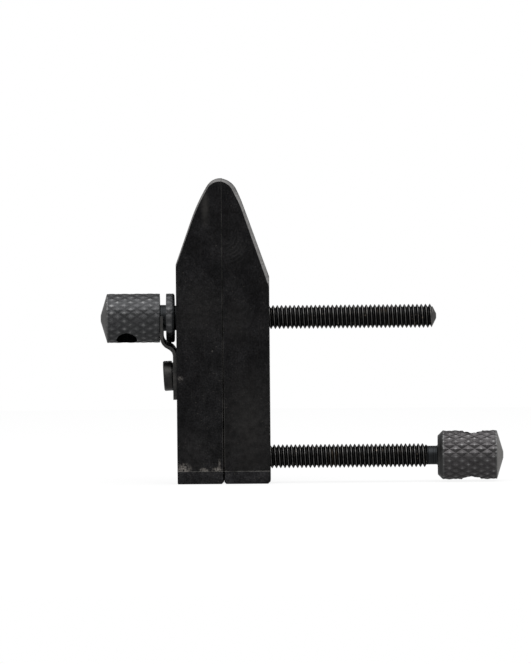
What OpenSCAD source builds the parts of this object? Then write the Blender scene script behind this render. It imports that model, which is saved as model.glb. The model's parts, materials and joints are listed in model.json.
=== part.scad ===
// Toolmaker's parallel clamp: two steel jaws, drawn together by a centre screw and levered by an end screw.
// It stands on its heels. X runs across the jaws, from the plain jaw to the tapped jaw, Y through their
// thickness and Z from heel to tip. Shapes are drawn from the seam of the closed jaws at the heels' plane,
// and placed at the end with the origin under the middle of the plain jaw.

/* [Jaws] */
// Length of each jaw, heel to tip
jaw_length = 76.2; // [71:0.1:90]
// Width of each jaw, seam to outer face
jaw_width = 11.6; // [10.5:0.1:14]
// Thickness of both jaws
jaw_thickness = 12.7; // [12.2:0.1:18]
// Angle that the nose leans in towards the tip
nose_angle = 19.55; // [17:0.05:21]
// Length of the plain jaw's nose, from its corner up to the tip
plain_nose_length = 21.5; // [18:0.1:23]
// Length of the tapped jaw's nose, from its corner up to the tip
tapped_nose_length = 24.5; // [22:0.1:27]
// Radius of the plain jaw's rounded tip
plain_tip_radius = 4.4; // [3:0.1:5]
// Radius of the tapped jaw's rounded tip
tapped_tip_radius = 3.7; // [3:0.1:3.9]
// Flat left on top of the plain jaw's tip, measured from the seam
plain_tip_flat = 0.15; // [0.15:0.05:0.6]
// Flat left on top of the tapped jaw's tip, measured from the seam
tapped_tip_flat = 0.15; // [0.15:0.05:0.6]
// Distance that the tapped jaw's tip is lower than the plain jaw's
tapped_tip_drop = 0.3; // [0:0.1:1]
// Lean at which a tip's round passes into the slower curve of its shoulder
tip_turn = 30; // [26:1:40]
// Bevel ground along the edges of the plain jaw's nose
plain_nose_bevel = 0.5; // [0.2:0.05:1]
// Bevel ground along the edges of the tapped jaw's nose
tapped_nose_bevel = 0.6; // [0.2:0.05:1]
// Height of the bevel on both sides of each heel
heel_bevel_height = 3.2; // [1:0.1:5]
// Depth of the bevel on both sides of each heel
heel_bevel_depth = 1.2; // [0.3:0.1:2]
// Break of the heel corners beside the seam
seam_heel_break = 0.5; // [0.2:0.1:1]
// Break of the plain jaw's outer heel corner
plain_heel_break = 0.2; // [0.1:0.1:1]
// Break of the tapped jaw's outer heel corner
tapped_heel_break = 0.6; // [0.1:0.1:1]
// Gap between the closed jaws along the seam
seam_gap = 0.05; // [0.02:0.01:0.2]
// Bevel on the edges of the grip faces
seam_bevel = 0.1; // [0.05:0.01:0.12]
// Relief of each grip face at the heel, which opens the seam there
heel_relief = 0.1; // [0.05:0.01:0.5]
// Height at which the relief runs out
relief_height = 35; // [15:1:45]

/* [Threads] */
// Outside diameter of both screw threads
thread_diameter = 5.95; // [5.5:0.01:6.1]
// Pitch of both screw threads
thread_pitch = 1.0583; // [0.9:0.0001:1.3]
// Depth of the thread from crest to root
thread_depth = 0.71; // [0.5:0.01:0.8]
// Width of the flat on the thread's crest
thread_crest = 0.13; // [0.06:0.01:0.3]
// Radial clearance of the tapped holes over the screw threads
thread_clearance = 0.2; // [0.15:0.01:0.3]

/* [Screw heads] */
// Diameter of both knurled heads over the knurl
head_diameter = 12.3; // [11:0.1:12.5]
// Grooves of the knurl each way round a head
knurl_starts = 19; // [16:1:26]
// Depth of the knurl
knurl_depth = 0.35; // [0.15:0.01:0.5]
// Angle of the knurl's grooves from the screw's axis
knurl_angle = 32.5; // [26:0.5:36]
// Height of the blunt cone on the end of each head
head_cone_height = 1.6; // [0.8:0.1:2.5]
// Radius of the small flat at the point of that cone
head_cone_flat = 0.8; // [0.4:0.1:2]
// Diameter of the tommy bar hole across each head
tommy_hole = 5; // [3:0.1:5.4]

/* [Centre screw] */
// Height of the centre screw above the heels
centre_height = 41.45; // [38:0.05:45]
// Length of the centre screw's head, from the groove to its point
centre_head_length = 14.8; // [13:0.05:20]
// Diameter at the bottom of the groove between head and collar
groove_diameter = 6.55; // [6.2:0.05:7.5]
// Width of the groove
groove_width = 1.6; // [1.4:0.05:2.5]
// Width of the collar
collar_width = 2.1; // [1.8:0.1:3.5]
// Gap between the collar and the plain jaw's outer face
collar_gap = 0.45; // [0.2:0.05:1]
// Rounding of the collar's edge
collar_round = 0.6; // [0.2:0.1:1]
// Diameter of the plain shank that turns in the plain jaw
shank_diameter = 6.2; // [6.1:0.05:7]
// Distance that the shank stops short of the seam
shank_setback = 0.6; // [0.4:0.1:2]
// Length of thread that stands out of the closed tapped jaw
centre_thread_length = 40.5; // [30:0.1:60]
// Length of the cone on the end of the thread
thread_cone = 1.2; // [0.6:0.1:2]
// Radius of the flat at the point of that cone
thread_tip_flat = 0.6; // [0.4:0.1:1.5]
// Distance of the tommy bar hole from the groove
centre_hole_offset = 8.3; // [7:0.1:9]
// Lean of that hole from upright
centre_hole_lean = 28; // [0:1:90]
// Radial clearance of parts that turn in a plain hole
running_clearance = 0.08; // [0.02:0.01:0.1]

/* [End screw] */
// Height of the end screw above the heels
end_height = 6.6; // [6.3:0.1:9]
// Length of the end screw's head
end_head_length = 16.4; // [14:0.1:22]
// Bevel on the inner end of that head, along the axis
end_head_bevel = 1.3; // [0.5:0.1:2]
// Distance of the tommy bar hole from the inner end of the head
end_hole_offset = 8.6; // [7:0.1:9]
// Length of the neck between head and thread
neck_length = 2.5; // [1:0.1:4]
// Diameter of the neck
neck_diameter = 4.68; // [4.5:0.02:4.9]
// Fillet between the neck and the head
neck_fillet = 0.4; // [0.2:0.1:0.8]
// Length of thread that stands out of the closed tapped jaw
end_thread_length = 39.3; // [30:0.1:60]
// Diameter of the plain nose that bears in the plain jaw
nose_diameter = 4.1; // [3.6:0.05:4.2]
// Length of the nose inside the plain jaw
nose_length = 5; // [3:0.1:7]
// Radius of the flat at the nose's point and at the bottom of its socket
nose_flat = 0.7; // [0.3:0.1:1.2]
// Gap between the nose's point and the bottom of its socket
seat_gap = 0.05; // [0.02:0.01:0.2]

/* [Spring clip] */
// Thickness of the clip's strip
clip_thickness = 0.9; // [0.6:0.05:1.1]
// Width of the clip's strip
clip_width = 10.8; // [9.5:0.1:12]
// Radius of both bends at the middle of the strip
clip_bend_radius = 2.45; // [1.8:0.05:2.6]
// Angle of both bends
clip_bend_angle = 60; // [45:1:64]
// Height of the second bend's end above the lowest edge of the collar
clip_bend_rise = 1.45; // [0.8:0.05:1.8]
// Height of the prongs' ends above the centre screw's axis
prong_rise = 0.6; // [0:0.1:3]
// Gap between the prongs and the head's side of the groove
prong_gap = 0.15; // [0.1:0.01:0.3]
// Clearance of the fork on each side of the groove's bottom
fork_clearance = 0.12; // [0.05:0.01:0.3]
// Depth of the fork below the centre screw's axis, so that the collar's lowest edge clears the strip
fork_depth = 7.2; // [6.9:0.1:8]
// Length of strip below the clip screw's axis
clip_tail = 5.9; // [4.5:0.1:10]

/* [Clip screw] */
// Diameter of the clip screw's body
clip_screw_diameter = 4; // [3:0.1:4.5]
// Length of the clip screw's body under its head
clip_screw_length = 7.5; // [5:0.1:9]
// Diameter of its head
clip_screw_head = 7.5; // [6:0.1:8.5]
// Height of its head
clip_screw_head_height = 2.4; // [1.5:0.1:3.5]
// Rounding of the head's edge
clip_screw_round = 0.4; // [0.1:0.1:0.8]
// Width of the driver slot
driver_slot_width = 1; // [0.6:0.1:1.4]
// Depth of the driver slot
driver_slot_depth = 1.1; // [0.5:0.1:1.4]
// Angle of the driver slot from upright
driver_slot_angle = 12; // [0:1:90]
// Distance from the edge of the head up to the first bend
clip_screw_margin = 1.35; // [0.4:0.05:3]
// Lean of the screw out of square with the jaw
clip_screw_lean = 3; // [0:0.5:5]

/* [Hidden] */
$fn = 64;

// Length that cutting tools run past a surface
past = 1;
// Sides of the helix in one turn, and rows of points in one pitch
turn_sides = 16;
turn_rows = 3;
// Flat steps in each of the two curves that round a jaw's tip
tip_steps = 5;
// Least straight stretch beside a curve
least_leg = 0.05;
// Steps in each bend of the clip
bend_steps = 10;
// Steps in a rounded edge
round_steps = 4;
// Included angle of the drill point at the bottom of a blind hole
drill_angle = 118;

jaw_colour = [0.11, 0.11, 0.12];
screw_colour = [0.3, 0.3, 0.31];
clip_colour = [0.15, 0.15, 0.16];

crest_radius = thread_diameter / 2;
root_radius = crest_radius - thread_depth;
head_radius = head_diameter / 2;
tapped_top = jaw_length - tapped_tip_drop;

// Places along X
grip_face = seam_gap / 2;
collar_inner = -jaw_width - collar_gap;
collar_outer = collar_inner - collar_width;
groove_outer = collar_outer - groove_width;
centre_head_end = groove_outer - centre_head_length;
centre_thread_end = jaw_width + centre_thread_length;
end_thread_end = jaw_width + end_thread_length;
end_head_start = end_thread_end + neck_length;
end_head_end = end_head_start + end_head_length;
shank_end = -shank_setback;

// Places of the clip: middle of its strip on the jaw and in the groove, and the heights of its bends
clip_base = -jaw_width - clip_thickness / 2;
prong_place = groove_outer + prong_gap + clip_thickness / 2;
bend_reach = 2 * clip_bend_radius * (1 - cos(clip_bend_angle));
bend_run = (clip_base - prong_place - bend_reach) / sin(clip_bend_angle);
bend_top = centre_height - head_radius + clip_bend_rise;
bend_bottom = bend_top - 2 * clip_bend_radius * sin(clip_bend_angle) - bend_run * cos(clip_bend_angle);
clip_screw_height = bend_bottom - clip_screw_margin - clip_screw_head / 2;
clip_screw_seat = -jaw_width - clip_thickness - clip_screw_head / 2 * sin(clip_screw_lean);

// Unit vector out of the nose's slope, in X and Z
slope_out = [cos(nose_angle), sin(nose_angle)];

// Depth of a drill point of a given radius
function drill_point(radius) = radius / tan(drill_angle / 2);

// Points of an arc in a plane
function arc(centre, radius, from, to, steps) =
    [for (i = [0:steps]) let (a = from + (to - from) * i / steps) centre + radius * [cos(a), sin(a)]];

// Rounded tip of a jaw: a slow curve that leaves the slope smoothly, and a quick one that ends level.
// The slow curve rounds the meeting of the slope with a tangent of the quick one, as far as the slope is long.
function jaw_tip(nose_length, radius, flat, top) =
    let (
        corner = [jaw_width, top - nose_length],
        centre = [flat, top - radius],
        turn_out = [cos(tip_turn), sin(tip_turn)],
        turn_along = [-sin(tip_turn), cos(tip_turn)],
        bend = tip_turn - nose_angle,
        turn_point = centre + radius * turn_out,
        leg = max(least_leg, (corner - turn_point) * slope_out / sin(bend)),
        meeting = turn_point - leg * turn_along,
        reach = min(leg, norm(meeting - corner) - least_leg),
        shoulder = reach / tan(bend / 2),
        tip = arc(centre, radius, tip_turn, 90, tip_steps)
    )
    concat(
        arc(meeting + reach * turn_along - shoulder * turn_out, shoulder, nose_angle, tip_turn, tip_steps),
        [for (i = [reach < leg ? 0 : 1:tip_steps]) tip[i]]
    );

// Edge of a jaw's nose, from its corner over the tip to the seam
function nose_edge(nose_length, radius, flat, top) =
    concat(
        [[jaw_width, top - nose_length]],
        jaw_tip(nose_length, radius, flat, top),
        [[grip_face, top]]
    );

// Outward unit normal of a stretch of that edge
function edge_normal(from, to) = [to.y - from.y, from.x - to.x] / norm(to - from);

// Corner of that edge, set in by a distance
function inset_corner(edge, i, inset) =
    let (
        before = edge_normal(edge[i - 1], edge[i]),
        after = edge_normal(edge[i], edge[i + 1])
    )
    edge[i] - inset * (before + after) / (1 + before * after);

// Turns a profile of places along X and radii about the X axis
module turned(profile) {
    rotate([0, 90, 0])
        rotate_extrude()
            polygon([for (p = profile) [p.y, p.x]]);
}

// Round bar along X
module x_bar(from, to, diameter) {
    translate([from, 0, 0])
        rotate([0, 90, 0])
            cylinder(d = diameter, h = to - from);
}

// Flat plate across Y, from an outline in X and Z
module plate(outline, thickness) {
    rotate([90, 0, 0])
        linear_extrude(thickness, center = true)
            polygon(outline);
}

// Jaw on the +X side of the seam, before its holes. Its sides stop short of the nose's edge by the bevel,
// which runs out down the outer face, and short of the grip face by a smaller one.
module jaw_blank(edge, nose_bevel, heel_break) {
    half = jaw_thickness / 2;
    last = len(edge) - 1;
    grip = [
        edge[last] - [0, nose_bevel],
        [grip_face, relief_height],
        [grip_face + heel_relief, seam_heel_break]
    ];
    heel = [
        [grip_face + heel_relief + seam_heel_break, 0],
        [jaw_width - heel_break, 0],
        [jaw_width, heel_break]
    ];
    run_out = edge[0] - [0, nose_bevel / sin(nose_angle)];
    inner_edge = [for (i = [1:last - 1]) inset_corner(edge, i, nose_bevel)];
    set_back = [for (p = grip) p + [seam_bevel, 0]];
    intersection() {
        hull() {
            plate(concat(heel, [run_out], inner_edge, set_back), jaw_thickness);
            plate(concat(grip, heel), jaw_thickness - 2 * seam_bevel);
            plate(edge, jaw_thickness - 2 * nose_bevel);
        }
        rotate([90, 0, 90])
            linear_extrude(jaw_width + past)
                polygon([
                    [half - heel_bevel_depth, 0],
                    [half, heel_bevel_height],
                    [half, jaw_length + past],
                    [-half, jaw_length + past],
                    [-half, heel_bevel_height],
                    [heel_bevel_depth - half, 0]
                ]);
    }
}

// Right-hand helical thread about the X axis, from one whole turn to another, grown outwards by extra
module helix(first_turn, last_turn, extra) {
    rows = turn_rows * (last_turn - first_turn);
    crest_half = thread_crest / thread_pitch / 2;
    row_turn = [0, 0.5 - crest_half, 0.5 + crest_half];
    row_radius = [root_radius + extra, crest_radius + extra, crest_radius + extra];
    function at(side, row) = side < turn_sides ? side * (rows + 1) + row : at(0, row + turn_rows);
    function point(side, row) =
        let (a = 360 * side / turn_sides, k = row % turn_rows, r = row_radius[k])
        [
            thread_pitch * (first_turn + floor(row / turn_rows) + row_turn[k] + side / turn_sides),
            r * cos(a),
            r * sin(a)
        ];
    first_axis = turn_sides * (rows + 1);
    points = concat(
        [for (side = [0:turn_sides - 1], row = [0:rows]) point(side, row)],
        [for (turn = [first_turn, last_turn]) [thread_pitch * (turn + 0.5), 0, 0]]
    );
    last_side = turn_sides - 1;
    first_rim = concat([for (side = [0:last_side]) at(side, 0)], [for (row = [turn_rows:-1:1]) at(0, row)]);
    last_rim = concat(
        [for (side = [0:last_side]) at(side, rows)],
        [for (row = [rows - 1:-1:rows - turn_rows]) at(last_side, row)]
    );
    walls = [
        for (side = [0:last_side], row = [0:rows - 1 - (side == last_side ? turn_rows : 0)])
            for (half = [[at(side, row), at(side + 1, row + 1), at(side + 1, row)],
                         [at(side, row), at(side, row + 1), at(side + 1, row + 1)]])
                half
    ];
    first_cap = [
        for (i = [0:len(first_rim) - 1])
            [first_axis, first_rim[i], first_rim[(i + 1) % len(first_rim)]]
    ];
    last_cap = [
        for (i = [0:len(last_rim) - 1])
            [first_axis + 1, last_rim[(i + 1) % len(last_rim)], last_rim[i]]
    ];
    polyhedron(points, concat(walls, first_cap, last_cap));
}

// Screw thread between two places along X, trimmed to a turned profile
module screw_thread(from, to, profile) {
    intersection() {
        helix(floor(from / thread_pitch) - 1, ceil(to / thread_pitch) + 1, 0);
        turned(profile);
    }
}

// Tapped hole through the tapped jaw
module tapped_hole() {
    helix(-2, ceil(jaw_width / thread_pitch) + 1, thread_clearance);
}

// Bar with a diamond knurl about the X axis, between two places along X
module knurled_bar(from, to) {
    columns = 2 * knurl_starts;
    spacing = PI * head_radius / knurl_starts / tan(knurl_angle);
    rings = ceil((to - from) / spacing);
    function raised(ring, column) = (ring + column) % 2 == 0;
    function at(ring, column) = ring * columns + column % columns;
    points = concat(
        [
            for (ring = [0:rings], column = [0:columns - 1])
                let (
                    a = 360 * column / columns,
                    r = raised(ring, column) ? head_radius : head_radius - knurl_depth
                )
                [from + ring * spacing, r * cos(a), r * sin(a)]
        ],
        [[from, 0, 0], [from + rings * spacing, 0, 0]]
    );
    walls = [
        for (ring = [0:rings - 1], column = [0:columns - 1])
            let (
                a = at(ring, column),
                b = at(ring, column + 1),
                c = at(ring + 1, column + 1),
                d = at(ring + 1, column)
            )
            for (half = raised(ring, column) ? [[a, d, b], [b, d, c]] : [[a, c, b], [a, d, c]])
                half
    ];
    axis_point = columns * (rings + 1);
    caps = [
        for (column = [0:columns - 1])
            for (cap = [[axis_point, at(0, column), at(0, column + 1)],
                        [axis_point + 1, at(rings, column + 1), at(rings, column)]])
                cap
    ];
    polyhedron(points, concat(walls, caps));
}

// Knurled head, groove and collar of the centre screw
module centre_head() {
    over = head_radius + past;
    cone_back = (over - head_cone_flat) * head_cone_height / (head_radius - head_cone_flat);
    rounded = arc([collar_inner - collar_round, head_radius - collar_round], collar_round, 90, 0, round_steps);
    difference() {
        intersection() {
            knurled_bar(centre_head_end - past, collar_inner + past);
            turned(concat(
                [
                    [centre_head_end, 0],
                    [centre_head_end, head_cone_flat],
                    [centre_head_end + cone_back, over],
                    [groove_outer, over],
                    [groove_outer, groove_diameter / 2],
                    [collar_outer, groove_diameter / 2],
                    [collar_outer, over],
                    [collar_inner - collar_round, over]
                ],
                rounded,
                [[collar_inner, 0]]
            ));
        }
        translate([groove_outer - centre_hole_offset, 0, 0])
            rotate([-centre_hole_lean, 0, 0])
                cylinder(d = tommy_hole, h = 2 * over, center = true);
    }
}

// Screw that draws the jaws together: it turns in the plain jaw and threads through the tapped jaw
module centre_screw() {
    over = crest_radius + past;
    cone_slope = (crest_radius - thread_tip_flat) / thread_cone;
    thread_tip = centre_thread_end + thread_cone;
    color(screw_colour)
        translate([0, 0, centre_height])
            union() {
                centre_head();
                x_bar(collar_inner - past, shank_end, shank_diameter);
                screw_thread(shank_end - past, thread_tip, [
                    [shank_end - past, 0],
                    [shank_end - past, over],
                    [thread_tip - (over - thread_tip_flat) / cone_slope, over],
                    [thread_tip, thread_tip_flat],
                    [thread_tip, 0]
                ]);
            }
}

// Knurled head of the end screw
module end_head() {
    over = head_radius + past;
    cone_back = (over - head_cone_flat) * head_cone_height / (head_radius - head_cone_flat);
    difference() {
        intersection() {
            knurled_bar(end_head_start - past, end_head_end + past);
            turned([
                [end_head_start, 0],
                [end_head_start, head_radius - end_head_bevel],
                [end_head_start + end_head_bevel + past, over],
                [end_head_end - cone_back, over],
                [end_head_end, head_cone_flat],
                [end_head_end, 0]
            ]);
        }
        translate([end_head_start + end_hole_offset, 0, 0])
            cylinder(d = tommy_hole, h = 2 * over, center = true);
    }
}

// Screw that spreads the heels: it threads through the tapped jaw and bears in the plain jaw's socket
module end_screw() {
    over = crest_radius + past;
    nose_radius = nose_diameter / 2;
    neck_radius = neck_diameter / 2;
    fillet_centre = [end_head_start - neck_fillet, neck_radius + neck_fillet];
    color(screw_colour)
        translate([0, 0, end_height])
            union() {
                end_head();
                turned(concat(
                    [[end_thread_end - past / 2, 0], [end_thread_end - past / 2, neck_radius]],
                    arc(fillet_centre, neck_fillet, 270, 360, round_steps),
                    [[end_head_start + past, neck_radius + neck_fillet], [end_head_start + past, 0]]
                ));
                screw_thread(grip_face, end_thread_end, [
                    [grip_face, 0],
                    [grip_face, root_radius],
                    [grip_face + over - root_radius, over],
                    [end_thread_end - over + root_radius, over],
                    [end_thread_end, root_radius],
                    [end_thread_end, 0]
                ]);
                turned([
                    [-nose_length - drill_point(nose_radius - nose_flat), 0],
                    [-nose_length - drill_point(nose_radius - nose_flat), nose_flat],
                    [-nose_length, nose_radius],
                    [grip_face + past / 2, nose_radius],
                    [grip_face + past / 2, 0]
                ]);
            }
}

// Blind socket in the plain jaw where the end screw's nose bears
module nose_socket() {
    socket_radius = nose_diameter / 2 + running_clearance;
    bottom = -nose_length - seat_gap - drill_point(socket_radius - nose_flat);
    turned([
        [bottom, 0],
        [bottom, nose_flat],
        [-nose_length - seat_gap, socket_radius],
        [past, socket_radius],
        [past, 0]
    ]);
}

// Stands a shape along -X at the clip screw's place, leaning as the screw does
module at_clip_screw() {
    translate([clip_screw_seat, 0, clip_screw_height])
        rotate([0, -clip_screw_lean, 0])
            children();
}

// Jaw that the centre screw turns in
module plain_jaw() {
    color(jaw_colour)
        difference() {
            mirror([1, 0, 0])
                jaw_blank(
                    nose_edge(plain_nose_length, plain_tip_radius, plain_tip_flat, jaw_length),
                    plain_nose_bevel,
                    plain_heel_break
                );
            translate([0, 0, centre_height])
                x_bar(-jaw_width - past, past, shank_diameter + 2 * running_clearance);
            translate([0, 0, end_height])
                nose_socket();
            at_clip_screw()
                x_bar(-past, clip_screw_length + past / 2, clip_screw_diameter + 2 * running_clearance);
        }
}

// Jaw that both screws thread through
module tapped_jaw() {
    color(jaw_colour)
        difference() {
            jaw_blank(
                nose_edge(tapped_nose_length, tapped_tip_radius, tapped_tip_flat, tapped_top),
                tapped_nose_bevel,
                tapped_heel_break
            );
            for (height = [centre_height, end_height])
                translate([0, 0, height])
                    tapped_hole();
        }
}

// One face of the clip's strip, at a distance from its middle towards the jaw
function clip_face(offset) =
    let (
        lower = [clip_base - clip_bend_radius, bend_bottom],
        upper = [prong_place + clip_bend_radius, bend_top]
    )
    concat(
        [[clip_base + offset, clip_screw_height - clip_tail]],
        arc(lower, clip_bend_radius + offset, 0, clip_bend_angle, bend_steps),
        arc(upper, clip_bend_radius - offset, 180 + clip_bend_angle, 180, bend_steps),
        [[prong_place + offset, centre_height + prong_rise]]
    );

// Forked leaf spring that holds the centre screw's groove to the plain jaw
module spring_clip() {
    near = clip_face(clip_thickness / 2);
    far = clip_face(-clip_thickness / 2);
    fork = groove_diameter + 2 * fork_clearance;
    fork_start = prong_place - clip_thickness;
    color(clip_colour)
        difference() {
            rotate([90, 0, 0])
                linear_extrude(clip_width, center = true)
                    polygon(concat(near, [for (i = [len(far) - 1:-1:0]) far[i]]));
            translate([0, 0, centre_height + fork / 2 - fork_depth]) {
                x_bar(fork_start, clip_base, fork);
                translate([fork_start, -fork / 2, 0])
                    cube([clip_base - fork_start, fork, fork_depth + prong_rise]);
            }
            at_clip_screw()
                x_bar(-past, clip_screw_length, clip_screw_diameter + 4 * running_clearance);
        }
}

// Slotted screw that fastens the clip to the plain jaw
module clip_screw() {
    radius = clip_screw_head / 2;
    top = -clip_screw_head_height;
    rounding = [top + clip_screw_round, radius - clip_screw_round];
    color(clip_colour)
        at_clip_screw()
            difference() {
                turned(concat(
                    [[top, 0]],
                    arc(rounding, clip_screw_round, 180, 90, round_steps),
                    [
                        [0, radius],
                        [0, clip_screw_diameter / 2],
                        [clip_screw_length, clip_screw_diameter / 2],
                        [clip_screw_length, 0]
                    ]
                ));
                rotate([driver_slot_angle, 0, 0])
                    translate([top - past, -driver_slot_width / 2, -radius - past])
                        cube([past + driver_slot_depth, driver_slot_width, 2 * (radius + past)]);
            }
}

// Puts the origin under the middle of the plain jaw
module placed() {
    translate([jaw_width / 2, 0, 0])
        children();
}

placed() plain_jaw();
placed() tapped_jaw();
placed() centre_screw();
placed() end_screw();
placed() spring_clip();
placed() clip_screw();
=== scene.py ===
import json
import math

import bmesh
import bpy
import numpy as np
from mathutils import Matrix, Vector


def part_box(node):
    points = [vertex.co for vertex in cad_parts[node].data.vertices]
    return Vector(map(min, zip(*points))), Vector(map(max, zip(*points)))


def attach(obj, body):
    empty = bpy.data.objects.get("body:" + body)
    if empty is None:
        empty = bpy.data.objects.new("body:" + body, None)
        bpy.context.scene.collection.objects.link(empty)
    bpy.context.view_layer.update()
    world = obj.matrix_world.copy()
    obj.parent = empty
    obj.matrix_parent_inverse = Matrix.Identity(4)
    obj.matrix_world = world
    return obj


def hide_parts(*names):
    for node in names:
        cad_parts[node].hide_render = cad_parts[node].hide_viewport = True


# Toolmaker's parallel clamp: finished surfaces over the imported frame.
# Sizes are in millimetres along the frame's axes, and become metres where Blender takes them.
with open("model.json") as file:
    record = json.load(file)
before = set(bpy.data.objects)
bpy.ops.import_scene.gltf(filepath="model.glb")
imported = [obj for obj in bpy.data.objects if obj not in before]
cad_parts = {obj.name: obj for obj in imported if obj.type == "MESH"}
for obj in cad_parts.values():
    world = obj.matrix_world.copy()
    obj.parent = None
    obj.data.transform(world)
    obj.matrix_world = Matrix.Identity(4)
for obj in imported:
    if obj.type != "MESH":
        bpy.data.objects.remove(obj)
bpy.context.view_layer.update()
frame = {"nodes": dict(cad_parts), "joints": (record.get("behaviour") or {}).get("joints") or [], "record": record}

MM = 0.001

# Places from the frame, and the angle that the screws turn for each metre of the jaw's travel
joints = {joint["name"]: joint for joint in frame["joints"]}
boxes = {name: [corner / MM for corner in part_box(name)] for name in frame["nodes"]}
turn_rate = abs(frame["record"]["behaviour"]["couplings"][0]["ratio"])
SEAM = (boxes["plain_jaw"][1].x + boxes["tapped_jaw"][0].x) / 2
JAW_WIDTH = boxes["tapped_jaw"][1].x - SEAM
JAW_LENGTH = boxes["plain_jaw"][1].z
JAW_THICKNESS = boxes["plain_jaw"][1].y - boxes["plain_jaw"][0].y
OUTER_FACE = boxes["plain_jaw"][0].x
FRONT = -JAW_THICKNESS / 2
GRIP_FACE = SEAM - boxes["plain_jaw"][1].x
CENTRE_HEIGHT = joints["centre_screw_turn"]["pos_m"][2] / MM
END_HEIGHT = joints["end_screw_turn"]["pos_m"][2] / MM
CENTRE_POINT = boxes["centre_screw"][0].x
CENTRE_END = boxes["centre_screw"][1].x
END_POINT = boxes["end_screw"][1].x
PITCH = 2 * math.pi / turn_rate / MM

# Building: reach of cutters and limits past a surface, overlap of joined bars, distance at which points
# merge, slack in comparing heights, sides of a plain bar, and angles that count as flat and as smooth
PAST = 1
OVERLAP = 0.5
MERGE_DISTANCE = 0.002
HEIGHT_SLACK = 0.01
BAR_SIDES = 64
FLAT_ANGLE = math.radians(0.4)
SMOOTH_ANGLE = math.radians(30)

# Lean of both noses, how much lower the tapped tip is, and steps in each curve of a nose
NOSE_ANGLE = math.radians(19.55)
TAPPED_DROP = 0.02
TIP_STEPS = 12
# Each jaw's nose: length, tip's radius, place of its middle beyond the seam, and the lean at which the tip's
# round meets the shoulder; widths of the ground bevel at the corner, the shoulder, that lean and the seam
PLAIN_NOSE = {
    "length": 21.3, "radius": 3.65, "middle": 0.55, "turn": math.radians(31),
    "top": JAW_LENGTH, "bevels": (0.25, 0.3, 0.45, 0.65), "heel_break": 0.2,
}
TAPPED_NOSE = {
    "length": 24.7, "radius": 4.95, "middle": -0.9, "turn": math.radians(25.7),
    "top": JAW_LENGTH - TAPPED_DROP, "bevels": (0.75, 0.55, 0.8, 0.55), "heel_break": 0.6,
}

# Jaws: heels, seam, broken edges, and the least height of the ground strips
HEEL_BEVEL_HEIGHT = 3.2
HEEL_BEVEL_DEPTH = 1.2
SEAM_HEEL_BREAK = 0.5
SEAM_BEVEL = 0.05
SEAM_HEEL_BEVEL = 0.2
SEAM_RELIEF = 0.04
RELIEF_HEIGHT = 48
EDGE_BREAK = 0.12
HEEL_LINE = 0.12
SEAM_LINE = 0.05
SHARP_ANGLE = math.radians(50)
STRIP_FROM = 45
# Share of a face's normal through the jaw's thickness that makes it a bevel, and the least share of a normal
# that counts as facing that way
BEVEL_LEAN = (0.5, 0.9)
FACE_LEAN = 0.5
# Material slots of a jaw after its oxide
EDGE = 1
WORN = 2
STRIP = 3
SEAM_EDGE = 4
SEAM_GAP = 5
HEEL = 6

# Threads: rows are shares of a pitch, and spare turns at each end are pressed flat against it
CREST_RADIUS = 5.95 / 2
THREAD_DEPTH = 0.71
THREAD_CREST = 0.13
THREAD_ROOT = 0.10
THREAD_CLEARANCE = 0.2
THREAD_SIDES = 48
THREAD_ROWS = (0, 0.05, 0.16, 0.28, 0.38, 0.44, 0.56, 0.62, 0.72, 0.84, 0.95)
THREAD_SHIFT = 0.12
THREAD_START = 0.02
TURNS_BEFORE = 3
TURNS_AFTER = 2

# Screw heads. Faces farther out than the knurl's floor count as knurl
HEAD_RADIUS = 12.3 / 2
KNURL_STARTS = 19
CONE_HEIGHT = 1.6
CONE_FLAT = 0.8
CONE_SLOPE = (HEAD_RADIUS - CONE_FLAT) / CONE_HEIGHT
TOMMY_RADIUS = 2.6
TOMMY_BREAK = 0.08
KNURL_STEPS = 6
KNURL_FLOOR = HEAD_RADIUS - 0.6
KNURL_END = 0.3
KNURL_LIMIT = HEAD_RADIUS + PAST
RING_STEP = 0.12
FILLET_STEPS = 5

# Each head's knurl: depth, blunted share, pitch along X, and the place and angle of one of its points
CENTRE_KNURL = {"depth": 0.12, "blunt": 0.2, "pitch": 3.19, "place": -20.34, "angle": math.radians(138)}
END_KNURL = {"depth": 0.25, "blunt": 0.08, "pitch": 3.15, "place": 63.66, "angle": math.radians(182.2)}

# Centre screw
GROOVE_RADIUS = 6.55 / 2
GROOVE_WIDTH = 1.6
COLLAR_WIDTH = 2.1
COLLAR_GAP = 0.45
COLLAR_ROUND = 0.6
SHANK_RADIUS = 6.2 / 2
SHANK_SETBACK = 0.6
SHANK_BREAK = 0.3
SHANK_OVERLAP = 2
GROOVE_BREAK = 0.1
CENTRE_CONE = 1.2
CENTRE_TIP = 0.6
CENTRE_HOLE_OFFSET = 8.3
CENTRE_HOLE_LEAN = math.radians(28)
RUNNING_CLEARANCE = 0.08

# End screw
END_HEAD_LENGTH = 16.4
END_BEVEL = 1.3
END_HOLE_OFFSET = 8.6
NECK_LENGTH = 2.5
NECK_RADIUS = 4.68 / 2
NECK_FILLET = 0.4
NOSE_RADIUS = 4.1 / 2
NOSE_LENGTH = 5
NOSE_FLAT = 0.7
NOSE_TAPER = 0.2
SEAT_GAP = 0.05
DRILL_SLOPE = math.tan(math.radians(59))

# Clip
CLIP_THICKNESS = 0.9
CLIP_WIDTH = 10.8
CLIP_BEND_RADIUS = 2.45
CLIP_BEND_ANGLE = math.radians(60)
CLIP_BEND_RISE = 1.45
CLIP_TAIL = 5.75
CLIP_TWIST = math.radians(3.5)
CLIP_EDGE = 0.12
CLIP_SHARP_ANGLE = math.radians(40)
PRONG_RISE = 0.6
PRONG_GAP = 0.15
PRONG_INNER = 0.25
FORK_CLEARANCE = 0.12
FORK_DEPTH = 7.2
BEND_STEPS = 14
FORK_STEPS = 32
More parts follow.
